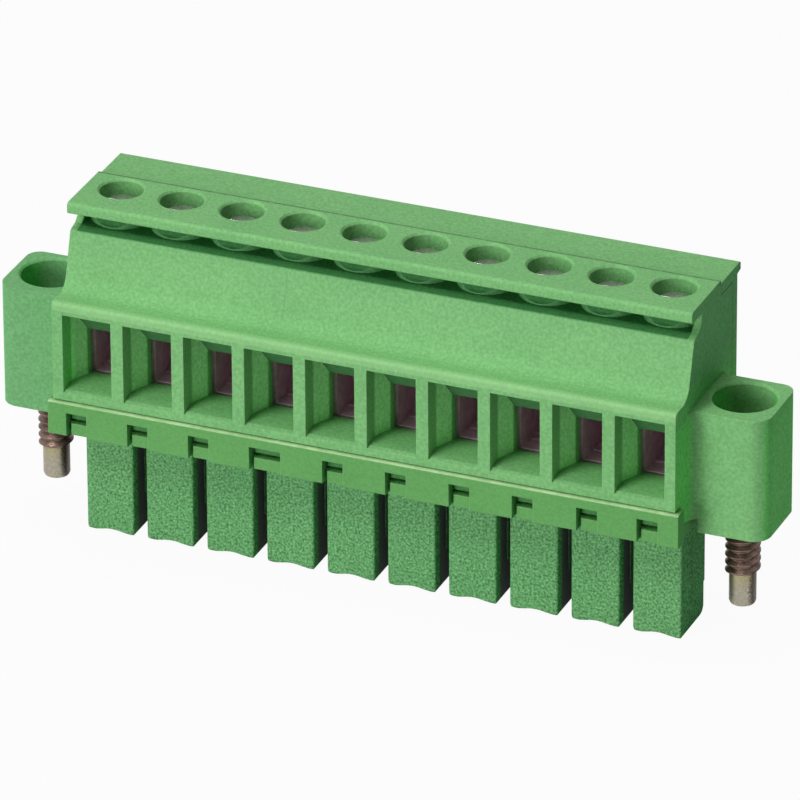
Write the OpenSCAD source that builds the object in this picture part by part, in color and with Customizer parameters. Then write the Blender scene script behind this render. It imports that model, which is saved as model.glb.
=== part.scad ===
// Pluggable screw terminal block with a captive screw in a flange at each end.
// Wires enter the funnels on the front, which faces -Y. The clamp screws turn in
// the wells in the top, and the plug sleeves point down. X runs along the row, and
// z = 0 is the plane of the sleeve ends. The sub-parts are drawn with y = 0 at the
// front face of the funnels, and centred() then puts the middle of the depth there.

/* [Row of poles] */
// Distance from one pole to the next
pitch = 3.5; // [3.45:0.05:4.5]
// Wall beyond the last clamp chamber
end_wall = 0.63; // [0.4:0.01:1.5]

/* [Clamp cage] */
// Width of the cage
cage_w = 2.5; // [2.2:0.05:2.6]
// Depth of the cage along the wire
cage_d = 3.6; // [2.6:0.1:4.2]
// Thickness of the cage's side walls
cage_wall = 0.35; // [0.2:0.05:0.45]
// Thickness of the cage's floor
cage_floor = 0.4; // [0.3:0.05:0.8]
// Thickness of the cage's threaded top
cage_top = 1; // [0.6:0.1:1.6]
// Way that the cage rises from open to shut
cage_travel = 2.3; // [1:0.1:2.5]
// Height between the cage's floor and the clamp bar when open
wire_gap = 2.9; // [2.9:0.1:3.6]

/* [Clamp screw] */
// Diameter of the clamp screw's head
head_d = 2.15; // [2.1:0.05:2.6]
// Height of the clamp screw's head
head_h = 1.9; // [0.9:0.1:2]
// Outside diameter of the clamp screw's thread
shank_d = 1.8; // [1.2:0.05:1.9]
// Width of the screwdriver slots
slot_w = 0.4; // [0.3:0.05:0.6]
// Depth of the well above the screw's head
well_depth = 0.78; // [0.6:0.02:3]

/* [Contact] */
// Thickness of the contact's sheet metal
strip_t = 0.4; // [0.25:0.05:0.5]
// Width of the contact's clamp bar and leg
strip_w = 1.5; // [0.8:0.1:1.6]
// Gap between the spring beams where they grip a pin
grip_gap = 0.7; // [0.5:0.05:0.9]

/* [Wire funnel] */
// Width of the funnel at the front face
funnel_w = 2.8; // [2.2:0.05:2.9]
// Depth of the funnel's straight mouth
mouth_d = 1.05; // [0.5:0.05:1.5]
// Depth of the funnel's tapered part
taper_d = 1.2; // [0.6:0.05:2]
// Width of the wire opening at the funnel's inner end
opening_w = 1.92; // [1:0.02:2.2]
// Height of the wire opening
opening_h = 2.82; // [2:0.02:2.9]
// Rise of the funnel's roof above the wire opening
roof_rise = 1.7; // [0.5:0.05:1.8]
// Height that the funnel's floor bulges between the front and the wire opening
floor_bulge = 0.15; // [0.05:0.01:0.3]
// Depth of the wire opening's straight neck
opening_t = 0.5; // [0.3:0.05:0.8]
// Height of the sill between the front band and the funnel's floor
sill_h = 0.58; // [0.4:0.02:0.9]

/* [Housing] */
// Depth of the housing from the funnels' front to the rear cover's wall
housing_d = 8.2; // [8.2:0.1:10]
// Height of the ledge above the funnels' roof
ledge_rise = 0.68; // [0.4:0.02:1]
// Distance that the upper front wall stands back at the ledge
wall_foot_y = 1.75; // [1.2:0.05:2]
// Distance that the upper front wall stands back at the marker groove
wall_head_y = 2.6; // [2.1:0.05:3]
// Reach of the top lip in front of the wells
lip_reach = 1.46; // [0.8:0.02:1.6]
// Thickness of the top lip over the marker groove
lip_t = 0.64; // [0.4:0.02:0.9]
// Height of the marker groove
groove_h = 1.1; // [0.6:0.05:1.5]
// Wall round each screw well where the marker groove bares it
tube_wall = 0.45; // [0.2:0.01:0.5]
// Depth that the lower front stands back to take the front band
band_seat = 0.7; // [0.4:0.05:0.9]

/* [Rear cover] */
// Thickness of the rear cover's wall
cover_wall = 0.7; // [0.4:0.05:1.2]
// Overhang of the top strip behind the rear wall
strip_overhang = 0.48; // [0.1:0.02:0.8]
// Depth of the top strip from its parting line to its rear edge
strip_d = 2.88; // [2:0.02:3.1]
// Thickness of the top strip
strip_h = 0.7; // [0.5:0.05:0.9]
// Step down from the housing's top to the strip
strip_step = 0.2; // [0:0.02:0.4]

/* [Socket carrier] */
// Length of the plug sleeves below the carrier plate
sleeve_h = 6.88; // [5:0.01:9]
// Width of a plug sleeve
sleeve_w = 2.8; // [2.3:0.05:2.9]
// Depth of a plug sleeve
sleeve_d = 3.4; // [3.2:0.1:4]
// Distance from the funnels' front to the sleeves' front
sleeve_y = 2.58; // [1.8:0.02:2.9]
// Wall of a plug sleeve
sleeve_wall = 0.35; // [0.25:0.01:0.45]
// Thickness of the carrier plate
plate_t = 0.75; // [0.5:0.05:1.2]
// Height of the front band
band_h = 1.99; // [1.6:0.01:2.6]
// Distance that the front band stands proud of the funnels
band_proud = 0.2; // [0:0.02:0.4]
// Distance that the front band runs past the housing at each end
band_over = 0.25; // [0:0.05:0.4]

/* [Flanges] */
// Distance from the last pole to the flange screw
flange_offset = 4.05; // [3.9:0.05:5]
// Distance from the flange screw to the flange's outer face
flange_edge = 2.15; // [2:0.05:3]
// Distance from the funnels' front to the flange's front
flange_front = 2.15; // [1.6:0.05:2.6]
// Depth of the flange
flange_d = 4.7; // [4.4:0.05:5.2]
// Distance from the flange's front to the flange screw
flange_screw_y = 2.55; // [2.3:0.05:2.8]
// Drop of the flange's foot below the top of the sleeves
flange_drop = 0.06; // [0:0.01:0.3]
// Height of the flange
flange_h = 7.05; // [5:0.05:7.5]
// Diameter of the hole in the flange's top
flange_bore_d = 3.44; // [3:0.02:3.6]
// Thickness of the floor that the flange screw's head seats on
flange_floor = 1.6; // [1:0.05:2.5]

/* [Flange screw] */
// Diameter of the flange screw's head
flange_head_d = 2.9; // [2.4:0.05:2.95]
// Height of the flange screw's head
flange_head_h = 2; // [1:0.1:2.6]
// Outside diameter of the flange screw's thread
thread_d = 1.9; // [1.6:0.05:2.2]
// Length of the flange screw's thread
thread_l = 2.9; // [2:0.05:3.6]
// Diameter of the flange screw's neck and plain point
point_d = 1.46; // [1.1:0.02:1.5]
// Length of the flange screw's plain point
point_l = 1.95; // [1:0.05:2.2]

/* [Fits] */
// Play round a turning screw shank or neck
shank_play = 0.05; // [0.02:0.01:0.1]
// Play round a clamp screw's head in its well
head_play = 0.1; // [0.03:0.01:0.12]
// Play between a cage and the walls of its chamber
cage_play = 0.12; // [0.05:0.01:0.15]
// Play between moulded parts that seat on each other
seat_play = 0.05; // [0.02:0.01:0.08]
// Play at each end of a cage's travel
travel_play = 0.1; // [0.05:0.01:0.15]
// Play between a latch nose and its window
latch_play = 0.07; // [0.04:0.01:0.1]

/* [Hidden] */
$fn = 48;
EPS = 0.01;
poles = 10;

// Bevel round the rim of a well or a flange hole
rim = 0.12;
// Fine bevel along a moulded edge
edge = 0.08;

// Heights, from the sleeve ends up
plate_z = sleeve_h;
deck_z = plate_z + plate_t;
band_top_z = plate_z + band_h;
funnel_z = band_top_z + sill_h;
opening_z = funnel_z;
cage_z = opening_z - seat_play - cage_floor;
bar_z = cage_z + cage_floor + wire_gap;
cage_h = cage_floor + wire_gap + strip_t + travel_play + cage_top;
ceiling_z = cage_z + cage_h + cage_travel + travel_play;
// Floor of the screw's well, over the clamp chamber
shoulder_t = 0.6;
seat_z = ceiling_z + shoulder_t;
top_z = seat_z + head_h + well_depth;
roof_z = opening_z + opening_h + roof_rise;
ledge_z = roof_z + ledge_rise;
lip_z = top_z - lip_t;
groove_z = lip_z - groove_h;

// Places along Y: the cage stands clear of the chamber's front wall and of the contact's leg
cage_gap_y = 0.35;
leg_gap_y = 0.3;
chamber_y = mouth_d + taper_d + opening_t;
cage_y = chamber_y + cage_gap_y;
screw_y = cage_y + cage_d / 2;
leg_y = cage_y + cage_d + leg_gap_y;
well_r = head_d / 2 + head_play;
lip_y = screw_y - well_r - lip_reach;
rear_y = housing_d + cover_wall;
strip_y = rear_y + strip_overhang;
parting_y = strip_y - strip_d;
mid_y = (strip_y - band_proud) / 2;

// Places along X
chamber_w = cage_w + 2 * cage_play;
row_half = (poles - 1) / 2 * pitch;
body_half = row_half + chamber_w / 2 + end_wall;
flange_x = row_half + flange_offset;

// Flange
flange_z = plate_z - flange_drop;
flange_y = flange_front + flange_screw_y;
flange_seat_z = flange_z + flange_floor;

function pole_x(i) = (i - 1) * pitch - row_half;

// Points of an arc round (cy, cz), from angle a0 to a1 in degrees
function arc(cy, cz, r, a0, a1, steps = 6) =
    [for (k = [0:steps]) let (a = a0 + (a1 - a0) * k / steps) [cy + r * cos(a), cz + r * sin(a)]];

// Moves a sub-part from the drawing's y to the part's own frame
module centred() {
    translate([0, -mid_y, 0]) children();
}

// Extrudes an outline drawn as (y, z) points between two places along X
module along_x(x0, x1) {
    translate([x0, 0, 0]) rotate([90, 0, 90]) linear_extrude(x1 - x0) children();
}

// A rectangle from (x0, y0) to (x1, y1) whose corners have their own radii,
// given in the order front left, front right, rear right, rear left
module round_rect(x0, y0, x1, y1, radii) {
    corners = [[x0, y0, 1, 1], [x1, y0, -1, 1], [x1, y1, -1, -1], [x0, y1, 1, -1]];
    difference() {
        translate([x0, y0]) square([x1 - x0, y1 - y0]);
        for (k = [0:3]) {
            c = corners[k];
            r = radii[k];
            if (r > 0) difference() {
                translate([c[0] - (c[2] > 0 ? EPS : r), c[1] - (c[3] > 0 ? EPS : r)]) square(r + EPS);
                translate([c[0] + c[2] * r, c[1] + c[3] * r]) circle(r);
            }
        }
    }
}

// ---------------------------------------------------------------- housing

ridge_r = 0.22;
ledge_fillet = 1;
wall_slope = atan2(wall_head_y - wall_foot_y, groove_z - ledge_z);

// Side view of the housing: recess for the band, funnel front, ledge, sloping
// wall, marker groove, lip, top, and the rebate for the rear cover's strip
module housing_outline() {
    fillet_y = wall_foot_y - ledge_fillet * tan(45 - wall_slope / 2);
    lip_r = 0.2;
    polygon(concat(
        [[band_seat, deck_z], [band_seat, band_top_z + seat_play], [0, band_top_z + seat_play]],
        arc(ridge_r, ledge_z - ridge_r, ridge_r, 180, 90),
        arc(fillet_y, ledge_z + ledge_fillet, ledge_fillet, 270, 360 - wall_slope),
        [[wall_head_y, groove_z - edge], [wall_head_y + edge, groove_z]],
        arc(wall_head_y + edge, lip_z, groove_h, 300, 360, 5),
        [[lip_y + edge, lip_z], [lip_y, lip_z + edge]],
        arc(lip_y + lip_r, top_z - lip_r, lip_r, 180, 90, 4),
        [[parting_y - edge, top_z], [parting_y, top_z - edge]],
        [[parting_y, top_z - strip_step - strip_h], [housing_d, top_z - strip_step - strip_h]],
        [[housing_d, deck_z]]
    ));
}

// Depth of the marker groove behind its end webs, round the well tubes
module groove_pockets() {
    web = 0.42;
    front = wall_head_y + 0.35;
    back = screw_y - well_r + 0.7;
    floor_t = 0.12;
    difference() {
        translate([-body_half + web, front, groove_z + floor_t])
            cube([2 * (body_half - web), back - front, groove_h - floor_t]);
        for (i = [1:poles])
            translate([pole_x(i), screw_y, groove_z]) cylinder(r = well_r + tube_wall, h = groove_h + 1);
    }
}

// One wire funnel: a straight mouth, tapered walls and roof, a bulging floor and
// the straight neck of the wire opening
module funnel() {
    neck_y = mouth_d + taper_d;
    end_y = chamber_y + EPS;
    bulge_r = (pow(chamber_y / 2, 2) + pow(floor_bulge, 2)) / (2 * floor_bulge);
    bulge_a = asin(chamber_y / 2 / bulge_r);
    lip_a = 2;
    intersection() {
        linear_extrude(top_z) polygon([
            [-funnel_w / 2, -EPS], [-funnel_w / 2, mouth_d], [-opening_w / 2, neck_y], [-opening_w / 2, end_y],
            [opening_w / 2, end_y], [opening_w / 2, neck_y], [funnel_w / 2, mouth_d], [funnel_w / 2, -EPS]]);
        along_x(-funnel_w, funnel_w) polygon(concat(
            [[-EPS, roof_z], [-EPS, funnel_z - edge], [0, funnel_z - edge]],
            arc(chamber_y / 2, funnel_z + floor_bulge - bulge_r, bulge_r, 90 - lip_a + bulge_a, 90 - bulge_a, 8),
            [[end_y, opening_z], [end_y, opening_z + opening_h], [neck_y, opening_z + opening_h],
             [mouth_d, roof_z]]));
    }
}

// One clamp chamber, open at the rear and below, with the screw's well over it
module chamber() {
    translate([-chamber_w / 2, chamber_y, deck_z - 1])
        cube([chamber_w, housing_d, ceiling_z - deck_z + 1]);
    translate([0, screw_y, ceiling_z - EPS]) cylinder(r = shank_d / 2 + shank_play, h = shoulder_t + 2 * EPS);
    translate([0, screw_y, seat_z]) cylinder(r = well_r, h = top_z);
    translate([0, screw_y, top_z - rim]) cylinder(r1 = well_r, r2 = well_r + rim + EPS, h = rim + EPS);
}

// One flange, at +X, with its root blended into the housing's end
module flange_solid() {
    root_gap = 0.2;
    root_x = body_half + band_over + root_gap;
    overlap = 0.3;
    front_blend = 0.7;
    rear_blend = 0.4;
    back = flange_front + flange_d;
    translate([0, 0, flange_z]) linear_extrude(flange_h)
        round_rect(root_x, flange_front, flange_x + flange_edge, back, [0, 1, 0.8, 0]);
    translate([body_half, 0, deck_z]) linear_extrude(flange_z + flange_h - deck_z) {
        translate([-overlap, flange_front]) square([root_x - body_half + overlap + EPS, flange_d]);
        difference() {
            translate([-overlap, flange_front - front_blend]) square([front_blend + overlap, front_blend + EPS]);
            translate([front_blend, flange_front - front_blend]) circle(front_blend);
        }
        difference() {
            translate([-overlap, back - EPS]) square([rear_blend + overlap, rear_blend]);
            translate([rear_blend, back + rear_blend]) circle(rear_blend);
        }
    }
}

// Bore for the flange screw's head, and the neck hole in its floor
module flange_bore() {
    translate([0, 0, flange_seat_z]) cylinder(d = flange_bore_d, h = flange_h);
    translate([0, 0, flange_z + flange_h - rim])
        cylinder(d1 = flange_bore_d, d2 = flange_bore_d + 2 * rim + EPS, h = rim + EPS);
    translate([0, 0, flange_z - EPS]) cylinder(r = point_d / 2 + shank_play, h = flange_floor + 2 * EPS);
}

// Latch windows of the front band: [left edge from the pole's centre, width].
// They stand unevenly along the row and the fourth is wider, as a key.
latch_w = 1.18;
latch_key_w = 1.8;
latch_x = [-1.2, -1.15, -1.12, -1.1, -0.4, -0.3, -0.18, -0.1, 0.03, -0.08];
function latch(i) = [latch_x[i - 1], i == 4 ? latch_key_w : latch_w];
latch_drop = 0.6;
latch_top_z = band_top_z - latch_drop;
latch_h = 0.73;

module terminal_housing() {
    color("mediumseagreen") centred() difference() {
        union() {
            along_x(-body_half, body_half) housing_outline();
            flange_solid();
            mirror([1, 0, 0]) flange_solid();
            for (i = [1:poles]) latch_nose(i);
        }
        groove_pockets();
        for (i = [1:poles]) translate([pole_x(i), 0, 0]) {
            funnel();
            chamber();
        }
        for (side = [-1, 1]) translate([side * flange_x, flange_y, 0]) flange_bore();
    }
}

// Wedge on the housing that snaps into a window of the front band
module latch_nose(i) {
    nose_x = pole_x(i) + latch(i)[0] + latch_play;
    nose_z = latch_top_z - latch_play;
    nose_h = 0.52;
    tip_y = 0.42;
    root_y = band_seat + 0.2;
    along_x(nose_x, nose_x + latch(i)[1] - 2 * latch_play) polygon([
        [root_y, nose_z], [tip_y + edge, nose_z], [tip_y, nose_z - edge],
        [tip_y, nose_z - nose_h], [root_y, nose_z - nose_h]]);
}

// ------------------------------------------------------------- rear cover

// Back wall with the top strip, and a rib behind each contact's leg
module rear_cover() {
    strip_top = top_z - strip_step;
    strip_z = strip_top - strip_h;
    front = parting_y + seat_play;
    wall_y = housing_d + seat_play;
    lip_h = 0.45;
    rib_y = leg_y + strip_t;
    rib_margin = 0.6;
    color("mediumseagreen") centred() {
        along_x(-body_half, body_half) polygon([
            [front, strip_z + seat_play], [front, strip_top - edge], [front + edge, strip_top],
            [strip_y - edge, strip_top], [strip_y, strip_top - edge], [strip_y, strip_top - lip_h],
            [rear_y, strip_top - lip_h - edge], [rear_y, deck_z + seat_play], [wall_y, deck_z + seat_play],
            [wall_y, strip_z + seat_play]]);
        for (i = [1:poles])
            translate([pole_x(i) - strip_w / 2, rib_y, deck_z + strip_t + rib_margin])
                cube([strip_w, wall_y + EPS - rib_y, bar_z - deck_z - strip_t - 2 * rib_margin]);
    }
}

// --------------------------------------------------------- socket carrier

pin_y = sleeve_y + sleeve_d / 2;

// One plug sleeve: rounded tube with a bevelled foot and a step along its sides
module sleeve_solid() {
    y1 = sleeve_y + sleeve_d;
    corner_r = 0.12;
    key_r = 0.3;
    foot_r = 0.15;
    key_foot_r = 0.35;
    rear_bevel_y = 0.8;
    rear_bevel_z = 0.6;
    intersection() {
        linear_extrude(plate_z + EPS)
            round_rect(-sleeve_w / 2, sleeve_y, sleeve_w / 2, y1, [key_r, corner_r, corner_r, key_r]);
        along_x(-sleeve_w, sleeve_w) polygon([
            [sleeve_y + corner_r, 0], [sleeve_y, corner_r], [sleeve_y, plate_z + 1], [y1, plate_z + 1],
            [y1, rear_bevel_z], [y1 - rear_bevel_y / 3, rear_bevel_z / 3], [y1 - rear_bevel_y, 0]]);
        translate([0, sleeve_y + sleeve_d, 0]) rotate([90, 0, 0]) linear_extrude(sleeve_d)
            round_rect(-sleeve_w / 2, 0, sleeve_w / 2, plate_z + 1, [key_foot_r, foot_r, 0, 0]);
    }
    step = 0.07;
    step_y = sleeve_y + 1.52;
    step_z = 2;
    translate([-sleeve_w / 2 - step, step_y, step_z])
        cube([sleeve_w + 2 * step, y1 - 0.15 - step_y, plate_z - step_z + EPS]);
}

// Contact chamber in a sleeve, the pin's entry and its lead-in, and the low arch
// in the front wall's foot
module sleeve_cavity() {
    foot = 0.6;
    entry = 1.15;
    lead = 0.3;
    arch_h = 0.2;
    arch_r = 2.3;
    translate([-sleeve_w / 2 + sleeve_wall, sleeve_y + sleeve_wall, foot])
        cube([sleeve_w - 2 * sleeve_wall, sleeve_d - 2 * sleeve_wall, deck_z]);
    translate([-entry / 2, pin_y - entry / 2, -EPS]) cube([entry, entry, foot + 2 * EPS]);
    intersection() {
        along_x(-2, 2) polygon([
            [pin_y - entry / 2 - lead, -EPS], [pin_y - entry / 2, lead],
            [pin_y + entry / 2, lead], [pin_y + entry / 2 + lead, -EPS]]);
        translate([0, pin_y + 2, 0]) rotate([90, 0, 0]) linear_extrude(4) polygon([
            [-entry / 2 - lead, -EPS], [-entry / 2, lead], [entry / 2, lead], [entry / 2 + lead, -EPS]]);
    }
    translate([0.1, sleeve_y + sleeve_wall, arch_h - arch_r])
        rotate([90, 0, 0]) cylinder(r = arch_r, h = sleeve_wall + 1);
}

// One latch window, with the strap below it set back from the band's face and a
// slit down the strap's left side
module latch_window(i) {
    strap_set = 0.3;
    slit_w = 0.17;
    slit_d = 0.6;
    x0 = pole_x(i) + latch(i)[0];
    w = latch(i)[1];
    translate([x0, -1, latch_top_z - latch_h]) cube([w, 3, latch_h]);
    translate([x0, -1, plate_z - 1]) cube([w, 1 - band_proud + strap_set, latch_top_z - plate_z + 1]);
    translate([x0, -1, plate_z - 1]) cube([slit_w, 1 - band_proud + slit_d, latch_top_z - plate_z + 1]);
}

module socket_carrier() {
    band_x = body_half + band_over;
    color("mediumseagreen") centred() difference() {
        union() {
            along_x(-band_x, band_x) polygon([
                [-band_proud, plate_z + edge], [-band_proud + edge, plate_z], [band_seat - seat_play, plate_z],
                [band_seat - seat_play, band_top_z], [-band_proud + edge, band_top_z],
                [-band_proud, band_top_z - edge]]);
            translate([-body_half, 0, plate_z])
                cube([2 * body_half, rear_y, plate_t - seat_play]);
            for (i = [1:poles]) translate([pole_x(i), 0, 0]) sleeve_solid();
        }
        for (i = [1:poles]) {
            translate([pole_x(i), 0, 0]) sleeve_cavity();
            latch_window(i);
        }
    }
}

// ------------------------------------------------------------ clamp parts

// Side view, across the row, of the cage's rectangular tube
module cage_section() {
    difference() {
        round_rect(-cage_w / 2, cage_z, cage_w / 2, cage_z + cage_h, [0.3, 0.3, 0.2, 0.2]);
        round_rect(-cage_w / 2 + cage_wall, cage_z + cage_floor, cage_w / 2 - cage_wall,
            cage_z + cage_h - cage_top, [0.1, 0.1, 0.1, 0.1]);
    }
}

// One cage, with its threaded hole and three grip grooves across its floor
module clamp_cage(i) {
    groove_step = 0.7;
    groove_r = 0.14;
    groove_l = cage_w - 2 * cage_wall - 0.2;
    color("darkgoldenrod") centred() translate([pole_x(i), 0, 0]) difference() {
        translate([0, cage_y + cage_d, 0]) rotate([90, 0, 0]) linear_extrude(cage_d) cage_section();
        translate([0, screw_y, cage_z + cage_h - cage_top - 1])
            cylinder(r = shank_d / 2 + shank_play, h = cage_top + 2);
        for (k = [-1, 0, 1])
            translate([0, screw_y + k * groove_step, cage_z + cage_floor]) rotate([0, 90, 0])
                cylinder(r = groove_r, h = groove_l, center = true, $fn = 4);
    }
}

module clamp_screw(i) {
    tip_z = bar_z + strip_t + travel_play / 2;
    cone = 0.25;
    bevel = 0.15;
    slot_depth = 1;
    color("silver") centred() translate([pole_x(i), screw_y, 0]) difference() {
        rotate_extrude() polygon([
            [0, tip_z], [shank_d / 2 - cone, tip_z], [shank_d / 2, tip_z + cone], [shank_d / 2, seat_z],
            [head_d / 2, seat_z], [head_d / 2, seat_z + head_h - bevel],
            [head_d / 2 - bevel, seat_z + head_h], [0, seat_z + head_h]]);
        translate([-head_d, -slot_w / 2, seat_z + head_h - slot_depth]) cube([2 * head_d, slot_w, head_h]);
    }
}

// One spring beam hanging from z1 to z0; side = 1 bows it toward +Y
module beam(y, z0, z1, side, bow) {
    steps = 10;
    beam_t = 0.8 * strip_t;
    function bow_at(t) = side * bow * pow(sin(180 * min(1, t * 1.25)), 2);
    polygon(concat(
        [for (k = [0:steps]) [y + bow_at(k / steps), z0 + (z1 - z0) * k / steps]],
        [for (k = [steps:-1:0]) [y + side * beam_t + bow_at(k / steps), z0 + (z1 - z0) * k / steps]]));
}

// One contact: clamp bar with a turned-up nose, leg, foot and two spring beams
module socket_contact(i) {
    beam_z0 = 0.9;
    beam_w = 1.3;
    beam_gap = 0.08;
    nose = 0.15;
    nose_y = cage_y - 0.1;
    cavity_y0 = sleeve_y + sleeve_wall + beam_gap;
    cavity_y1 = sleeve_y + sleeve_d - sleeve_wall - beam_gap;
    bow = (cavity_y1 - cavity_y0 - 1.6 * strip_t - grip_gap) / 2;
    color("goldenrod") centred() translate([pole_x(i), 0, 0]) {
        along_x(-strip_w / 2, strip_w / 2) polygon([
            [nose_y, bar_z + nose], [nose_y + nose, bar_z], [leg_y, bar_z], [leg_y, deck_z + strip_t],
            [cavity_y0, deck_z + strip_t], [cavity_y0, deck_z], [leg_y + strip_t, deck_z],
            [leg_y + strip_t, bar_z + strip_t], [nose_y, bar_z + strip_t]]);
        along_x(-beam_w / 2, beam_w / 2) {
            beam(cavity_y0, beam_z0, deck_z + EPS, 1, bow);
            beam(cavity_y1, beam_z0, deck_z + EPS, -1, bow);
        }
    }
}

// ----------------------------------------------------------- flange screw

module flange_screw(side) {
    neck_z = flange_z - 0.2;
    thread_z = neck_z - thread_l;
    point_z = thread_z - point_l;
    bevel = 0.2;
    slot_depth = 0.9;
    color("rosybrown") centred() translate([side * flange_x, flange_y, 0]) difference() {
        rotate_extrude() polygon([
            [0, point_z], [point_d / 2 - bevel, point_z], [point_d / 2, point_z + bevel],
            [point_d / 2, thread_z], [thread_d / 2, thread_z + bevel],
            [thread_d / 2, neck_z], [point_d / 2, neck_z],
            [point_d / 2, flange_seat_z], [flange_head_d / 2, flange_seat_z],
            [flange_head_d / 2, flange_seat_z + flange_head_h - bevel],
            [flange_head_d / 2 - bevel, flange_seat_z + flange_head_h], [0, flange_seat_z + flange_head_h]]);
        translate([-flange_head_d, -slot_w / 2, flange_seat_z + flange_head_h - slot_depth])
            cube([2 * flange_head_d, slot_w, flange_head_h]);
    }
}

terminal_housing();
rear_cover();
socket_carrier();
clamp_cage(1);  // clamp_cage_1
clamp_cage(2);  // clamp_cage_2
clamp_cage(3);  // clamp_cage_3
clamp_cage(4);  // clamp_cage_4
clamp_cage(5);  // clamp_cage_5
clamp_cage(6);  // clamp_cage_6
clamp_cage(7);  // clamp_cage_7
clamp_cage(8);  // clamp_cage_8
clamp_cage(9);  // clamp_cage_9
clamp_cage(10);  // clamp_cage_10
clamp_screw(1);  // clamp_screw_1
clamp_screw(2);  // clamp_screw_2
clamp_screw(3);  // clamp_screw_3
clamp_screw(4);  // clamp_screw_4
clamp_screw(5);  // clamp_screw_5
clamp_screw(6);  // clamp_screw_6
clamp_screw(7);  // clamp_screw_7
clamp_screw(8);  // clamp_screw_8
clamp_screw(9);  // clamp_screw_9
clamp_screw(10);  // clamp_screw_10
socket_contact(1);  // socket_contact_1
socket_contact(2);  // socket_contact_2
socket_contact(3);  // socket_contact_3
socket_contact(4);  // socket_contact_4
socket_contact(5);  // socket_contact_5
socket_contact(6);  // socket_contact_6
socket_contact(7);  // socket_contact_7
socket_contact(8);  // socket_contact_8
socket_contact(9);  // socket_contact_9
socket_contact(10);  // socket_contact_10
flange_screw(-1);  // flange_screw_left
flange_screw(1);  // flange_screw_right
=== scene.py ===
"""Looks of a pluggable screw terminal block: mouldings, metals, threads, stage."""

import math

import bmesh
import bpy
from bpy.props import FloatProperty, FloatVectorProperty, IntProperty, PointerProperty
from bpy.types import Operator, Panel, PropertyGroup
from mathutils import Matrix, Vector


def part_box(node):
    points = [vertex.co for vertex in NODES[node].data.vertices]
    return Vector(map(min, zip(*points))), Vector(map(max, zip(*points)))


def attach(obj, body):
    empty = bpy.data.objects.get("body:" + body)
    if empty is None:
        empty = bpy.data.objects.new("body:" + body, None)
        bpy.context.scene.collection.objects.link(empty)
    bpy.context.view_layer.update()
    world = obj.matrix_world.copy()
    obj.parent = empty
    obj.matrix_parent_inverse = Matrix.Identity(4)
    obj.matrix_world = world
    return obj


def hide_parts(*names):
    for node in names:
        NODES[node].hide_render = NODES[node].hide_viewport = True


bl_info = {
    "name": "Terminal Block Looks",
    "version": (1, 0, 0),
    "blender": (4, 5, 0),
    "location": "3D View > Sidebar > Terminal Block",
    "description": "Finishes, screw threads and stage of a pluggable terminal block",
    "category": "Object",
}

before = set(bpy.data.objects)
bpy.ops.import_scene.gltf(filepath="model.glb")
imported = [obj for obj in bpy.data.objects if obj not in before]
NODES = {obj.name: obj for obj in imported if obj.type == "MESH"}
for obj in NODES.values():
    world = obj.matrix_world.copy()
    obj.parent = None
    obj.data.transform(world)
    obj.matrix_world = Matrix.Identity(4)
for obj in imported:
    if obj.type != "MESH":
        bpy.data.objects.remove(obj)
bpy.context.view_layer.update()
MM = 0.001
POLES = range(1, 11)
SIDES = ("left", "right")


# ---------------------------------------------------------------- sizes and colours


def colour_prop(name, description, srgb):
    """A colour property whose default is written as an 8-bit screen colour."""
    linear = [((c / 255 + 0.055) / 1.055) ** 2.4 if c > 10 else c / 255 / 12.92 for c in srgb]
    return FloatVectorProperty(name=name, description=description, subtype="COLOR",
                               size=3, min=0, max=1, default=linear)


def length_prop(name, description, default):
    return FloatProperty(name=name, description=description, default=default,
                         subtype="DISTANCE", unit="LENGTH", precision=6, min=0)


class TBMouldingLook(PropertyGroup):
    housing: colour_prop("Housing", "Colour of the housing and the rear cover", (126, 188, 121))
    band: colour_prop("Band", "Colour of the smooth front band", (103, 167, 95))
    sleeve: colour_prop("Sleeves", "Colour of the grained plug sleeves", (108, 170, 110))
    # the sleeve-side colour is a painted shade behind the sleeves' front corners
    shade: colour_prop("Sleeve sides", "Colour between the plug sleeves", (112, 118, 116))
    # the edge colour is a painted highlight
    edge: colour_prop("Edges", "Lighter colour of the moulded edges", (164, 216, 150))
    # the flash colour is pale flash plus a painted highlight on the band's top edge
    flash: colour_prop("Flash", "Pale colour of the flash on the band's top edge", (190, 224, 168))
    mould_lines: FloatVectorProperty(name="Mould lines",
                                     description="Places of the fine lines on the sloping wall",
                                     subtype="XYZ", unit="LENGTH", precision=6,
                                     default=(-8.8 * MM, -5.2 * MM, 8.85 * MM))
    edge_radius: length_prop("Edge radius", "Radius that softens every moulded edge", 0.07 * MM)
    grain: length_prop("Grain", "Height of the surface grain", 0.006 * MM)


class TBMetalLook(PropertyGroup):
    cage: colour_prop("Cages", "Colour of the plated clamp cages", (212, 176, 194))
    contact: colour_prop("Contacts", "Colour of the contacts", (150, 130, 120))
    screw: colour_prop("Clamp screws", "Colour of the zinc-plated clamp screws", (205, 203, 200))
    thread: colour_prop("Threads", "Colour of the flange screws' threads", (132, 108, 98))
    point: colour_prop("Points", "Colour of the flange screws' plain points", (176, 170, 152))


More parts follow.
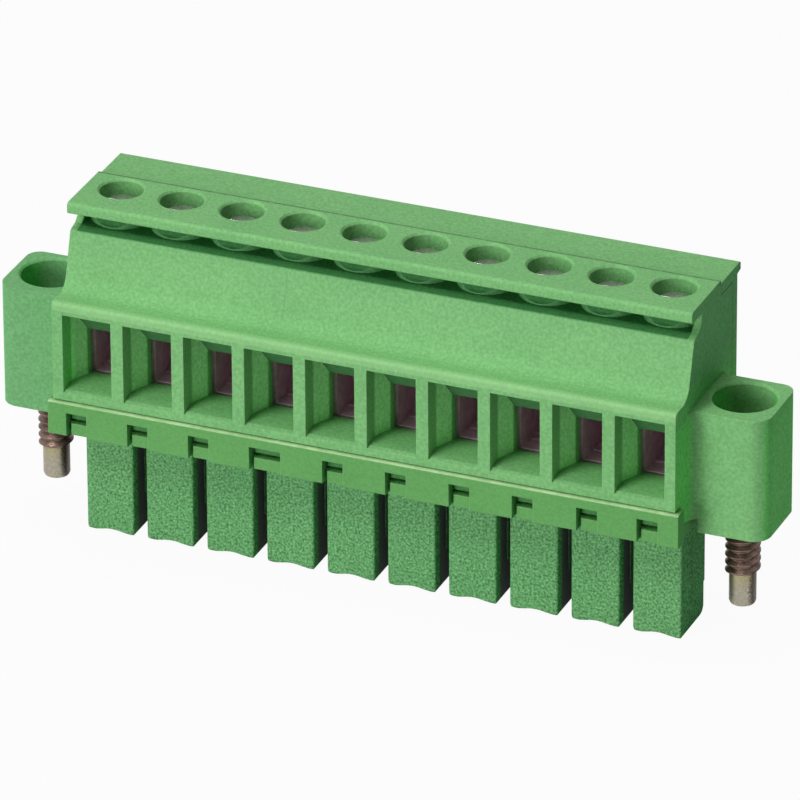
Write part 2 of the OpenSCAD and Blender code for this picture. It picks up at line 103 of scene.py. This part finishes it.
class TBFlangeScrew(PropertyGroup):
    thread_z: length_prop("Thread foot", "Height of the thread's lower end", 3.72 * MM)
    neck_z: length_prop("Thread head", "Height of the thread's upper end", 6.62 * MM)
    seat_z: length_prop("Head seat", "Height of the underside of the head", 8.42 * MM)
    crest: length_prop("Thread radius", "Radius of the thread's crest", 0.95 * MM)
    point: length_prop("Point radius", "Radius of the neck and the plain point", 0.73 * MM)
    bevel: length_prop("Bevel", "Bevel of the head's rim and of the point", 0.2 * MM)
    pitch: length_prop("Thread pitch", "Distance from one thread crest to the next", 0.46 * MM)
    depth: length_prop("Thread depth", "Height of the thread from root to crest", 0.2 * MM)
    slot_width: length_prop("Slot width", "Width of the screwdriver slot", 0.4 * MM)
    slot_depth: length_prop("Slot depth", "Depth of the screwdriver slot", 0.9 * MM)
    segments: IntProperty(name="Segments", description="Segments round the shank", default=48, min=12)


class TBStage(PropertyGroup):
    target: FloatVectorProperty(name="Target", description="Point that the camera looks at",
                                subtype="XYZ", unit="LENGTH", precision=6,
                                default=(0.42022 * MM, -0.18037 * MM, 10.17188 * MM))
    azimuth: FloatProperty(name="Azimuth",
                           description="Turn of the camera from the front towards the right end",
                           subtype="ANGLE", default=math.radians(22.5858))
    elevation: FloatProperty(name="Elevation", description="Height of the camera above the horizon",
                             subtype="ANGLE", default=math.radians(26.9351))
    roll: FloatProperty(name="Roll", description="Turn of the camera about its own line of sight",
                        subtype="ANGLE", default=math.radians(-0.3393))
    distance: length_prop("Distance", "Distance from the target to the camera", 550 * MM)
    lens: FloatProperty(name="Lens", description="Focal length in millimetres on a 36 mm sensor",
                        default=466.97)
    floor: FloatVectorProperty(name="Floor", description="Colour of the floor", subtype="COLOR",
                               size=3, min=0, max=1, default=(0.55, 0.55, 0.55))


# ---------------------------------------------------------------- node helpers


def new_material(name):
    """A material with an empty node tree, its output and a principled shader."""
    mat = bpy.data.materials.new(name)
    mat.use_nodes = True
    tree = mat.node_tree
    tree.nodes.clear()
    out = tree.nodes.new("ShaderNodeOutputMaterial")
    shader = tree.nodes.new("ShaderNodeBsdfPrincipled")
    tree.links.new(shader.outputs["BSDF"], out.inputs["Surface"])
    return mat, tree, shader


def node(tree, kind, **values):
    """Adds a node; values name its attributes, or its inputs where they are in quotes."""
    made = tree.nodes.new(kind)
    for key, value in values.items():
        setattr(made, key, value)
    return made


def object_coords(tree):
    return node(tree, "ShaderNodeTexCoord").outputs["Object"]


def noise(tree, coords, scale, detail=3.0, roughness=0.5):
    made = node(tree, "ShaderNodeTexNoise")
    made.inputs["Scale"].default_value = scale
    made.inputs["Detail"].default_value = detail
    made.inputs["Roughness"].default_value = roughness
    tree.links.new(coords, made.inputs["Vector"])
    return made.outputs["Fac"]


def span(tree, value, low, high, to_low=0.0, to_high=1.0, smooth=False):
    """Maps a value between two limits to another span, clamped."""
    made = node(tree, "ShaderNodeMapRange")
    made.interpolation_type = "SMOOTHSTEP" if smooth else "LINEAR"
    for key, number in zip(("From Min", "From Max", "To Min", "To Max"), (low, high, to_low, to_high)):
        made.inputs[key].default_value = number
    tree.links.new(value, made.inputs["Value"])
    return made.outputs["Result"]


def calc(tree, operation, a, b=None):
    made = node(tree, "ShaderNodeMath", operation=operation)
    for socket, value in zip(made.inputs, (a, b)):
        if value is None:
            continue
        if isinstance(value, (int, float)):
            socket.default_value = value
        else:
            tree.links.new(value, socket)
    return made.outputs["Value"]


def blend(tree, factor, a, b, mode="MIX"):
    """Mixes two colours, each a socket or a colour value."""
    made = node(tree, "ShaderNodeMix", data_type="RGBA", blend_type=mode)
    for socket, value in zip((made.inputs[0], made.inputs[6], made.inputs[7]), (factor, a, b)):
        if isinstance(value, (int, float)):
            socket.default_value = value
        elif isinstance(value, bpy.types.NodeSocket):
            tree.links.new(value, socket)
        else:
            socket.default_value = (*value, 1)
    return made.outputs[2]


def tint(colour, factor):
    return tuple(min(1, c * factor) for c in colour)


def bump(tree, height, distance, strength=1.0, under=None):
    made = node(tree, "ShaderNodeBump")
    made.inputs["Strength"].default_value = strength
    made.inputs["Distance"].default_value = distance
    tree.links.new(height, made.inputs["Height"])
    if under is not None:
        tree.links.new(under, made.inputs["Normal"])
    return made.outputs["Normal"]


def soft_edges(tree, radius):
    """Normals rounded over the edges, and a mask that is 1 on an edge."""
    made = node(tree, "ShaderNodeBevel", samples=6)
    made.inputs["Radius"].default_value = radius
    flat = node(tree, "ShaderNodeNewGeometry").outputs["True Normal"]
    dot = node(tree, "ShaderNodeVectorMath", operation="DOT_PRODUCT")
    tree.links.new(made.outputs["Normal"], dot.inputs[0])
    tree.links.new(flat, dot.inputs[1])
    return made.outputs["Normal"], span(tree, dot.outputs["Value"], 0.99, 0.8)


def place(tree, coords):
    """The X, Y and Z of a point, each as a socket."""
    made = node(tree, "ShaderNodeSeparateXYZ")
    tree.links.new(coords, made.inputs["Vector"])
    return made.outputs["X"], made.outputs["Y"], made.outputs["Z"]


def stripe(tree, value, centre, half, blur):
    """1 within half a width of a centre, fading to 0 over a blur."""
    away = calc(tree, "ABSOLUTE", calc(tree, "SUBTRACT", value, centre))
    return span(tree, away, half + blur, half)


def both(tree, *masks):
    """The product of several masks."""
    result = masks[0]
    for mask in masks[1:]:
        result = calc(tree, "MULTIPLY", result, mask)
    return result


def recess(tree, distance, deep=0.15, open_=0.62):
    """A mask that is 1 deep in a recess and 0 out in the open."""
    made = node(tree, "ShaderNodeAmbientOcclusion", samples=6)
    made.inputs["Distance"].default_value = distance
    return span(tree, made.outputs["AO"], open_, deep)


def facing(tree):
    """The X, Y and Z of the way that a face looks, each as a socket."""
    return place(tree, node(tree, "ShaderNodeTexCoord").outputs["Normal"])


def shade(tree, mask, colour, factor):
    """Multiplies a colour by another where the mask is 1."""
    return blend(tree, mask, colour, blend(tree, 1.0, colour, factor, "MULTIPLY"))


# ---------------------------------------------------------------- finishes


def grained(tree, coords, colour, painted_shade_recess, amount=0.10, scale=11000):
    """Colour of moulded plastic: fine speckle, with painted shade that grows coarser and darker in hollows.
    """
    speckle = span(tree, noise(tree, coords, scale, 2), 0.32, 0.68)
    cloud = span(tree, noise(tree, coords, 260, 2), 0.3, 0.7)
    fine = blend(tree, speckle, tint(colour, 1 - amount), tint(colour, 1 + amount))
    fine = shade(tree, cloud, fine, (0.90, 0.94, 0.92))
    coarse = span(tree, noise(tree, coords, 7500, 1), 0.38, 0.62)
    # painted shade: coarser and darker in recesses
    dark = blend(tree, coarse, (0.46, 0.64, 0.52), (0.96, 1.0, 0.98))
    return shade(tree, painted_shade_recess, fine, dark)


def dots(tree, coords, spacing, radius):
    """A mask that is 1 in small round dots, one to each cell of the spacing."""
    made = node(tree, "ShaderNodeTexVoronoi")
    made.inputs["Scale"].default_value = 1 / spacing
    tree.links.new(coords, made.inputs["Vector"])
    size = radius / spacing
    return span(tree, made.outputs["Distance"], size, size * 0.6)


# Places on the mouldings that the finishes follow
END_X = 17.2 * MM        # just inside the housing's end walls
RIDGE_Z = 14.45 * MM     # middle of the rounded ridge over the funnels
FUNNEL_Z = 11.7 * MM     # middle height of the funnels
TAPER_Y = -2.95 * MM     # middle of the funnels' tapered part
GROOVE_Z = 18.1 * MM     # middle height of the marker groove
WALL_Z = 16.4 * MM       # middle height of the sloping wall
TOP_Z = 19.2 * MM        # just below the top faces
JOINT_Y = 1.76 * MM      # housing's edge along the rear cover
REAR_Y = 4.74 * MM       # top strip's rear rim
NOSE_TOP_Z = 8.3 * MM    # above the latch noses
LEFT_FLANGE_X = -18 * MM # where the left flange starts


def housing_finish(look):
    """Satin green with painted highlights on the edges, painted shade in recesses, funnels, groove and on the
    ends, a painted shadow along the parting line, mould lines, dirt and a few dark specks.
    """
    mat, tree, shader = new_material("green_moulding_satin")
    coords = object_coords(tree)
    x, y, z = place(tree, coords)
    way_x, way_y, way_z = facing(tree)
    rounded, edges = soft_edges(tree, look.edge_radius)
    # mask for painted shade in recesses
    painted_shade_recess = recess(tree, 1.5 * MM)
    colour = grained(tree, coords, look.housing, painted_shade_recess, 0.13, 6000)
    side = span(tree, calc(tree, "ABSOLUTE", way_x), 0.6, 0.9)
    away = calc(tree, "ABSOLUTE", x)
    # painted shade on the housing's end faces, turning into painted light low down near the flanges
    shaded_end_faces = both(tree, side, span(tree, away, END_X - 0.2 * MM, END_X))
    low = span(tree, z, 15.5 * MM, 13 * MM)
    colour = shade(tree, shaded_end_faces, colour, blend(tree, low, (0.74, 0.98, 0.9), (0.86, 1.4, 0.92)))
    # painted highlights on all edges, strongest along the rounded ridge over the funnels
    ridge_highlight = both(tree, stripe(tree, z, RIDGE_Z, 0.22 * MM, 0.08 * MM), span(tree, y, -4.1 * MM, -4.3 * MM))
    edges = calc(tree, "MAXIMUM", edges, calc(tree, "MULTIPLY", ridge_highlight, 0.7))
    colour = blend(tree, calc(tree, "MULTIPLY", edges, 0.55), colour, look.edge)
    # painted shade on the funnels' roofs and painted light on their tapered side walls
    funnel = both(tree, span(tree, y, -4.55 * MM, -4.5 * MM), span(tree, y, -1.8 * MM, -1.85 * MM),
                  stripe(tree, z, FUNNEL_Z, 2.3 * MM, 0.05 * MM),
                  span(tree, away, END_X, END_X - 0.05 * MM))
    colour = shade(tree, both(tree, funnel, span(tree, way_z, -0.2, -0.4)), colour, (0.36, 0.44, 0.44))
    taper_light = both(tree, funnel, side, stripe(tree, y, TAPER_Y, 0.5 * MM, 0.15 * MM))
    colour = shade(tree, taper_light, colour, (2.0, 1.7, 2.0))
    # painted shade in the marker groove behind the sloping wall, darkest on its floor
    groove_shade = both(tree, stripe(tree, z, GROOVE_Z, 0.72 * MM, 0.02 * MM),
                  span(tree, y, -1.97 * MM, -1.9 * MM), span(tree, y, 0, -0.1 * MM),
                  span(tree, away, END_X + 0.2 * MM, END_X + 0.15 * MM))
    is_floor = span(tree, way_z, 0.4, 0.8)
    colour = shade(tree, groove_shade, colour, blend(tree, is_floor, (0.66, 0.78, 0.78), (0.3, 0.48, 0.4)))
    # fine lines left by the mould on the sloping front wall
    fade = span(tree, noise(tree, coords, 700, 2), 0.42, 0.6)
    wall = both(tree, span(tree, y, -1.2 * MM, -1.9 * MM),
                stripe(tree, z, WALL_Z, 0.9 * MM, 0.5 * MM), fade)
    for line in look.mould_lines:
        mark = calc(tree, "MULTIPLY", stripe(tree, x, line, 0.015 * MM, 0.03 * MM), wall)
        colour = blend(tree, calc(tree, "MULTIPLY", mark, 0.3), colour, tint(look.housing, 0.45))
    # shadow line along the joint between the housing and the rear cover, dirt by the
    # wells and a dark line along the top strip's rear rim
    top = span(tree, z, TOP_Z - 0.05 * MM, TOP_Z)
    joint = both(tree, stripe(tree, y, JOINT_Y, 0.05 * MM, 0.03 * MM), top,
                 span(tree, noise(tree, coords, 3000, 2), 0.25, 0.5, 0.45, 1))
    colour = blend(tree, calc(tree, "MULTIPLY", joint, 0.7), colour, tint(look.housing, 0.22))
    dirt = both(tree, span(tree, noise(tree, coords, 9000, 1), 0.62, 0.72),
                span(tree, noise(tree, coords, 450, 2), 0.5, 0.7), top, span(tree, way_y, -0.6, -0.3))
    colour = blend(tree, calc(tree, "MULTIPLY", dirt, 0.6), colour, tint(look.housing, 0.3))
    rear_rim = both(tree, stripe(tree, y, REAR_Y, 0.03 * MM, 0.02 * MM), top)
    colour = blend(tree, calc(tree, "MULTIPLY", rear_rim, 0.75), colour, tint(look.housing, 0.25))
    # the latch noses sit in the shade of the band's windows
    noses = both(tree, span(tree, z, NOSE_TOP_Z + 0.1 * MM, NOSE_TOP_Z),
                 span(tree, y, -3.5 * MM, -3.7 * MM))
    colour = shade(tree, noses, colour, (0.5, 0.66, 0.54))
    # painted shade: the left flange a little darker and cooler
    left = span(tree, x, LEFT_FLANGE_X + 0.3 * MM, LEFT_FLANGE_X - 0.3 * MM)
    colour = shade(tree, left, colour, (0.82, 0.87, 0.92))
    colour = blend(tree, dots(tree, coords, 3.6 * MM, 0.09 * MM), colour, tint(look.housing, 0.2))
    tree.links.new(colour, shader.inputs["Base Color"])
    fine = noise(tree, coords, 9000, 3)
    tree.links.new(span(tree, fine, 0.3, 0.7, 0.5, 0.64), shader.inputs["Roughness"])
    gloss = span(tree, calc(tree, "MAXIMUM", side, painted_shade_recess), 0, 1, 0.16, 0.02)
    tree.links.new(gloss, shader.inputs["Specular IOR Level"])
    tree.links.new(bump(tree, fine, look.grain, 0.6, rounded), shader.inputs["Normal"])
    return mat


def carrier_finish(look, plate_z, band_z):
    """The smooth band above plate_z and the grained sleeves below it, with painted shade in recesses and on
    the sides and painted highlights on the edges.
    """
    mat, tree, shader = new_material("carrier_moulding_grain")
    coords = object_coords(tree)
    x, y, z = place(tree, coords)
    rounded, edges = soft_edges(tree, look.edge_radius)
    way_x = facing(tree)[0]
    is_band = span(tree, z, plate_z - 0.02 * MM, plate_z + 0.02 * MM)
    # mask for painted shade in recesses
    painted_shade_recess = recess(tree, 1.0 * MM)
    band = grained(tree, coords, look.band, painted_shade_recess, 0.08, 6000)
    sleeve = grained(tree, coords, look.sleeve, calc(tree, "MULTIPLY", painted_shade_recess, 0.6), 0.5, 7500)
    pits = span(tree, noise(tree, coords, 5200, 1), 0.68, 0.74)
    sleeve = blend(tree, pits, sleeve, tint(look.sleeve, 0.5))
    # painted shade on all side faces, and a darker painted shade on the sleeve sides behind their front
    # corners
    side = span(tree, calc(tree, "ABSOLUTE", way_x), 0.6, 0.9)
    dull = both(tree, side, span(tree, y, -1.45 * MM, -1.35 * MM), span(tree, x, 16.9 * MM, 16.8 * MM))
    colour = blend(tree, is_band, sleeve, band)
    colour = shade(tree, side, colour, (0.8, 1.06, 0.94))
    colour = blend(tree, dull, colour, look.shade)
    # painted highlights on the edges
    colour = blend(tree, calc(tree, "MULTIPLY", edges, 0.5), colour, look.edge)
    # thin, uneven pale flash along the band's top edge, with a painted highlight on that edge
    flash = both(tree, span(tree, z, band_z - 0.1 * MM, band_z - 0.07 * MM),
                 span(tree, y, -4.52 * MM, -4.55 * MM),
                 span(tree, noise(tree, coords, 900, 4, 0.65), 0.3, 0.6, 0.35, 1))
    colour = blend(tree, calc(tree, "MULTIPLY", flash, 0.8), colour, look.flash)
    tree.links.new(colour, shader.inputs["Base Color"])
    fine = noise(tree, coords, 8000, 3)
    rough = span(tree, is_band, 0, 1, 0.66, 0.46)
    uneven = span(tree, fine, 0.3, 0.7, -0.04, 0.04)
    tree.links.new(calc(tree, "ADD", rough, uneven), shader.inputs["Roughness"])
    tree.links.new(span(tree, calc(tree, "MAXIMUM", side, painted_shade_recess), 0, 1, 0.16, 0.02),
                   shader.inputs["Specular IOR Level"])
    depth = calc(tree, "MULTIPLY", fine, span(tree, is_band, 0, 1, 1.8, 0.5))
    tree.links.new(bump(tree, depth, look.grain, 0.8, rounded), shader.inputs["Normal"])
    return mat


def metal_finish(name, colour, rough=(0.28, 0.5), dark=0.6, metallic=0.9, glint_colour=(0.8, 0.8, 0.78),
                 scale=1500, edge=0.03 * MM, glint_strength=0.7):
    """Plated metal with uneven tone, blotches, fine specks and painted glints along its edges."""
    mat, tree, shader = new_material(name)
    coords = object_coords(tree)
    stain = span(tree, noise(tree, coords, scale, 4, 0.6), 0.35, 0.7)
    speck = span(tree, noise(tree, coords, scale * 6, 2), 0.3, 0.7)
    base = blend(tree, stain, colour, tint(colour, dark))
    base = blend(tree, calc(tree, "MULTIPLY", speck, 0.3), base, tint(colour, 1.25))
    shader.inputs["Metallic"].default_value = metallic
    tree.links.new(span(tree, stain, 0, 1, *rough), shader.inputs["Roughness"])
    # painted glints along the edges
    rounded, edges = soft_edges(tree, edge)
    base = blend(tree, calc(tree, "MULTIPLY", edges, glint_strength), base, glint_colour)
    tree.links.new(base, shader.inputs["Base Color"])
    tree.links.new(bump(tree, speck, 0.004 * MM, 0.5, rounded), shader.inputs["Normal"])
    return mat


def flange_screw_finish(look, thread_z):
    """Copper-toned thread above thread_z, yellowish bright point below it."""
    mat, tree, shader = new_material("flange_screw_plated")
    coords = object_coords(tree)
    z = place(tree, coords)[2]
    edge = calc(tree, "ADD", z,
                calc(tree, "MULTIPLY", noise(tree, coords, 1800, 3), 0.3 * MM))
    is_thread = span(tree, edge, thread_z + 0.05 * MM, thread_z + 0.25 * MM)
    speck = span(tree, noise(tree, coords, 9000, 3), 0.3, 0.7)
    yellow = span(tree, z, thread_z - 0.9 * MM, thread_z - 0.1 * MM)
    stain = span(tree, noise(tree, coords, 1600, 4, 0.6), 0.4, 0.65)
    point = blend(tree, calc(tree, "MULTIPLY", yellow, 0.6), look.point, (0.40, 0.35, 0.12))
    point = blend(tree, calc(tree, "MULTIPLY", speck, 0.5), point, tint(look.point, 0.45))
    thread = blend(tree, stain, look.thread, tint(look.thread, 0.5))
    # painted shade in the thread's roots
    thread = blend(tree, recess(tree, 0.3 * MM, 0.3, 0.8), thread, tint(look.thread, 0.12))
    metal = blend(tree, is_thread, point, thread)
    # painted shade: darker on the side turned to +X
    dull = span(tree, calc(tree, "ADD", facing(tree)[0], calc(tree, "MULTIPLY", speck, 0.15)), 0.72, 0.95)
    tree.links.new(shade(tree, dull, metal, (0.2, 0.17, 0.17)), shader.inputs["Base Color"])
    shader.inputs["Metallic"].default_value = 0.85
    tree.links.new(span(tree, speck, 0, 1, 0.3, 0.5), shader.inputs["Roughness"])
    rounded = soft_edges(tree, 0.03 * MM)[0]
    tree.links.new(bump(tree, speck, 0.006 * MM, 0.6, rounded), shader.inputs["Normal"])
    return mat


def assign(obj, mat):
    obj.data.materials.clear()
    obj.data.materials.append(mat)


# ---------------------------------------------------------------- modelling helpers


def finished(bm, name, mat, smooth_angle=math.radians(35)):
    """Turns a bmesh into an object at the origin with clean, outward normals."""
    bmesh.ops.remove_doubles(bm, verts=bm.verts, dist=0.0005 * MM)
    bmesh.ops.recalc_face_normals(bm, faces=bm.faces)
    for edge in bm.edges:
        edge.smooth = len(edge.link_faces) == 2 and edge.calc_face_angle(0) < smooth_angle
    for face in bm.faces:
        face.smooth = True
    mesh = bpy.data.meshes.new(name)
    bm.to_mesh(mesh)
    bm.free()
    obj = bpy.data.objects.new(name, mesh)
    bpy.context.scene.collection.objects.link(obj)
    assign(obj, mat)
    return obj


def profile_edges(bm, points):
    """A chain of edges through (radius, height) points in the XZ plane."""
    verts = [bm.verts.new((r, 0, z)) for r, z in points]
    return [bm.edges.new(pair) for pair in zip(verts, verts[1:])]


def revolve(bm, points, steps):
    """Turns a profile once about Z."""
    edges = profile_edges(bm, points)
    bmesh.ops.spin(bm, geom=edges + list({v for e in edges for v in e.verts}), cent=(0, 0, 0),
                   axis=(0, 0, 1), angle=math.tau, steps=steps, use_merge=True, use_duplicate=False)


def cut_away(bm, point, normal):
    """Cuts off what lies behind a plane and closes the cut."""
    geom = list(bm.verts) + list(bm.edges) + list(bm.faces)
    cut = bmesh.ops.bisect_plane(bm, geom=geom, plane_co=point, plane_no=normal, clear_inner=True)
    rim = [e for e in cut["geom_cut"] if isinstance(e, bmesh.types.BMEdge)]
    bmesh.ops.holes_fill(bm, edges=rim, sides=0)


def merge(bm, other):
    """Adds another bmesh to this one and frees it."""
    made = bpy.data.meshes.new("merged")
    other.to_mesh(made)
    other.free()
    bm.from_mesh(made)
    bpy.data.meshes.remove(made)


def helix(bm, root, crest, pitch, z0, z1, steps):
    """A thread between two heights: one pitch of its profile, swept as a screw."""
    flat = pitch * 0.14
    z = z0 - pitch
    points = [(root, z), (root, z + flat), (crest, z + pitch / 2 - flat / 2),
              (crest, z + pitch / 2 + flat / 2), (root, z + pitch)]
    edges = profile_edges(bm, points)
    turns = math.ceil((z1 - z0) / pitch) + 1
    count = steps * turns
    bmesh.ops.spin(bm, geom=edges + list({v for e in edges for v in e.verts}), cent=(0, 0, 0),
                   axis=(0, 0, 1), dvec=(0, 0, pitch / steps), angle=math.tau * turns,
                   steps=count, use_merge=False, use_duplicate=False)
    bmesh.ops.remove_doubles(bm, verts=bm.verts, dist=0.0005 * MM)
    cut_away(bm, (0, 0, z0), (0, 0, 1))
    cut_away(bm, (0, 0, z1), (0, 0, -1))


# ---------------------------------------------------------------- operators


class TB_OT_mouldings(Operator):
    """Gives the housing, the rear cover and the socket carrier their plastic finishes."""
    bl_idname = "terminal_block.mouldings"
    bl_label = "Finish Mouldings"

    def execute(self, context):
        look = context.scene.tb_moulding
        housing = housing_finish(look)
        for name in ("terminal_housing", "rear_cover"):
            assign(NODES[name], housing)
        assign(NODES["socket_carrier"], carrier_finish(look, 6.88 * MM, 8.87 * MM))
        return {"FINISHED"}


class TB_OT_metals(Operator):
    """Gives the cages, clamp screws and contacts their plated finishes."""
    bl_idname = "terminal_block.metals"
    bl_label = "Finish Metals"

    def execute(self, context):
        look = context.scene.tb_metal
        finishes = {
            "clamp_cage": metal_finish("cage_plated_dull", look.cage, (0.5, 0.65), 0.7, 0.25, glint_strength=0.15),
            "clamp_screw": metal_finish("screw_zinc", look.screw, (0.25, 0.45), 0.25, scale=2600),
            "socket_contact": metal_finish("contact_tinned", look.contact, (0.35, 0.5)),
        }
        for piece, mat in finishes.items():
            for i in POLES:
                assign(NODES[f"{piece}_{i}"], mat)
        return {"FINISHED"}


class TB_OT_flange_screws(Operator):
    """Builds both flange screws with slotted head, neck, cut thread and plain point."""
    bl_idname = "terminal_block.flange_screws"
    bl_label = "Add Flange Screws"

    def execute(self, context):
        size = context.scene.tb_flange_screw
        mat = flange_screw_finish(context.scene.tb_metal, size.thread_z)
        for side in SIDES:
            name = f"flange_screw_{side}"
            low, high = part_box(name)
            centre = (low + high) / 2
            head_r = (high.x - low.x) / 2
            root = size.crest - size.depth
            overlap = 0.02 * MM
            slot_z = high.z - size.slot_depth
            bm = bmesh.new()
            revolve(bm, [(0, low.z), (size.point - size.bevel, low.z),
                         (size.point - size.bevel * 0.3, low.z + size.bevel * 0.3),
                         (size.point, low.z + size.bevel), (size.point, size.thread_z + overlap),
                         (0, size.thread_z + overlap)], size.segments)
            revolve(bm, [(0, size.neck_z - overlap), (root, size.neck_z - overlap), (size.point, size.neck_z),
                         (size.point, size.seat_z), (head_r, size.seat_z), (head_r, slot_z), (0, slot_z)],
                    size.segments)
            for flip in (1, -1):
                merge(bm, self.half_head(size, head_r, slot_z - overlap, high.z, flip))
            threads = bmesh.new()
            helix(threads, root, size.crest, size.pitch, size.thread_z, size.neck_z, size.segments)
            merge(bm, threads)
            bmesh.ops.translate(bm, vec=(centre.x, centre.y, 0), verts=bm.verts)
            obj = finished(bm, f"screw_with_thread_{side}", mat)
            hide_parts(name)
            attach(obj, name)
        return {"FINISHED"}

    def half_head(self, size, radius, foot_z, top_z, flip):
        """The half of the head's upper part on one side of the slot."""
        half = bmesh.new()
        revolve(half, [(0, foot_z), (radius, foot_z), (radius, top_z - size.bevel),
                       (radius - size.bevel, top_z), (0, top_z)], size.segments)
        cut_away(half, (0, flip * size.slot_width / 2, 0), (0, flip, 0))
        return half


class TB_OT_stage(Operator):
    """Sets the floor, soft lights and the camera."""
    bl_idname = "terminal_block.stage"
    bl_label = "Set Stage"

    def execute(self, context):
        stage = context.scene.tb_stage
        self.add_floor(stage)
        self.add_world(context.scene)
        self.add_lamp("key_softbox", (-0.22, -0.40, 0.54), 0.24, 1.9, (1.0, 0.99, 0.97))
        self.add_lamp("top_softbox", (-0.05, 0.02, 0.70), 0.3, 1.7, (1.0, 0.99, 0.97))
        self.add_lamp("front_softbox", (-0.16, -0.62, 0.12), 0.25, 1.75, (1.0, 1.0, 1.0))
        self.add_camera(context.scene, stage)
        context.scene.view_settings.view_transform = "Standard"
        return {"FINISHED"}

    def add_floor(self, stage):
        bm = bmesh.new()
        bmesh.ops.create_circle(bm, cap_ends=True, radius=1.2, segments=96)
        bmesh.ops.translate(bm, vec=(0, 0, -0.02 * MM), verts=bm.verts)
        mat, tree, shader = new_material("pale_floor")
        shader.inputs["Roughness"].default_value = 0.8
        grain = span(tree, noise(tree, object_coords(tree), 900, 3), 0.3, 0.7)
        tree.links.new(blend(tree, grain, tint(stage.floor, 0.99), tint(stage.floor, 1.01)),
                       shader.inputs["Base Color"])
        glow = node(tree, "ShaderNodeEmission")
        glow.inputs["Strength"].default_value = 1.0
        path = node(tree, "ShaderNodeLightPath")
        seen = calc(tree, "MAXIMUM", path.outputs["Is Camera Ray"],
                    calc(tree, "MAXIMUM", path.outputs["Is Glossy Ray"], path.outputs["Is Transmission Ray"]))
        mix = node(tree, "ShaderNodeMixShader")
        tree.links.new(calc(tree, "MULTIPLY", seen, 0.95), mix.inputs["Fac"])
        tree.links.new(shader.outputs["BSDF"], mix.inputs[1])
        tree.links.new(glow.outputs["Emission"], mix.inputs[2])
        out = next(n for n in tree.nodes if n.type == "OUTPUT_MATERIAL")
        tree.links.new(mix.outputs["Shader"], out.inputs["Surface"])
        floor = finished(bm, "floor", mat)

    def add_world(self, scene):
        world = bpy.data.worlds.new("pale_room")
        scene.world = world
        world.use_nodes = True
        tree = world.node_tree
        tree.nodes.clear()
        out = node(tree, "ShaderNodeOutputWorld")
        back = node(tree, "ShaderNodeBackground")
        path = node(tree, "ShaderNodeLightPath")
        seen = calc(tree, "MAXIMUM", path.outputs["Is Camera Ray"],
                    calc(tree, "MAXIMUM", path.outputs["Is Glossy Ray"], path.outputs["Is Transmission Ray"]))
        tree.links.new(span(tree, seen, 0, 1, 0.10, 1.0), back.inputs["Strength"])
        back.inputs["Color"].default_value = (1, 1, 1, 1)
        tree.links.new(back.outputs["Background"], out.inputs["Surface"])

    def add_lamp(self, name, place, size, power, colour):
        lamp = bpy.data.lights.new(name, "AREA")
        lamp.shape = "DISK"
        lamp.size = size
        lamp.energy = power
        lamp.color = colour
        obj = bpy.data.objects.new(name, lamp)
        obj.location = place
        obj.rotation_euler = (Vector(place) - Vector((0, 0, 0.01))).to_track_quat("Z", "Y").to_euler()
        bpy.context.scene.collection.objects.link(obj)

    def add_camera(self, scene, stage):
        a, e = stage.azimuth, stage.elevation
        back = Vector((math.sin(a) * math.cos(e), -math.cos(a) * math.cos(e), math.sin(e)))
        right = Vector((math.cos(a), math.sin(a), 0))
        turn = Matrix((right, back.cross(right), back)).transposed()
        turn = turn @ Matrix.Rotation(stage.roll, 3, "Z")
        camera = bpy.data.cameras.new("camera")
        camera.sensor_width = 36
        camera.lens = stage.lens
        camera.clip_start, camera.clip_end = 0.01, 10
        obj = bpy.data.objects.new("camera", camera)
        obj.matrix_world = Matrix.Translation(Vector(stage.target) + back * stage.distance) @ turn.to_4x4()
        scene.collection.objects.link(obj)
        scene.camera = obj


class TB_PT_looks(Panel):
    """Lists the pieces and their settings."""
    bl_idname = "TB_PT_looks"
    bl_label = "Terminal Block"
    bl_space_type = "VIEW_3D"
    bl_region_type = "UI"
    bl_category = "Terminal Block"

    def draw(self, context):
        for group, operator in LISTED:
            box = self.layout.box()
            settings = getattr(context.scene, group)
            for key in settings.__annotations__:
                box.prop(settings, key)
            box.operator(operator)


LISTED = (
    ("tb_moulding", "terminal_block.mouldings"),
    ("tb_metal", "terminal_block.metals"),
    ("tb_flange_screw", "terminal_block.flange_screws"),
    ("tb_stage", "terminal_block.stage"),
)
GROUPS = {"tb_moulding": TBMouldingLook, "tb_metal": TBMetalLook,
          "tb_flange_screw": TBFlangeScrew, "tb_stage": TBStage}
CLASSES = (*GROUPS.values(), TB_OT_mouldings, TB_OT_metals, TB_OT_flange_screws, TB_OT_stage, TB_PT_looks)


def register():
    for cls in CLASSES:
        bpy.utils.register_class(cls)
    for name, cls in GROUPS.items():
        setattr(bpy.types.Scene, name, PointerProperty(type=cls))


def unregister():
    for name in GROUPS:
        delattr(bpy.types.Scene, name)
    for cls in reversed(CLASSES):
        bpy.utils.unregister_class(cls)


def main():
    register()
    bpy.ops.terminal_block.mouldings()
    bpy.ops.terminal_block.metals()
    bpy.ops.terminal_block.flange_screws()
    bpy.ops.terminal_block.stage()


if __name__ == "__main__":
    main()
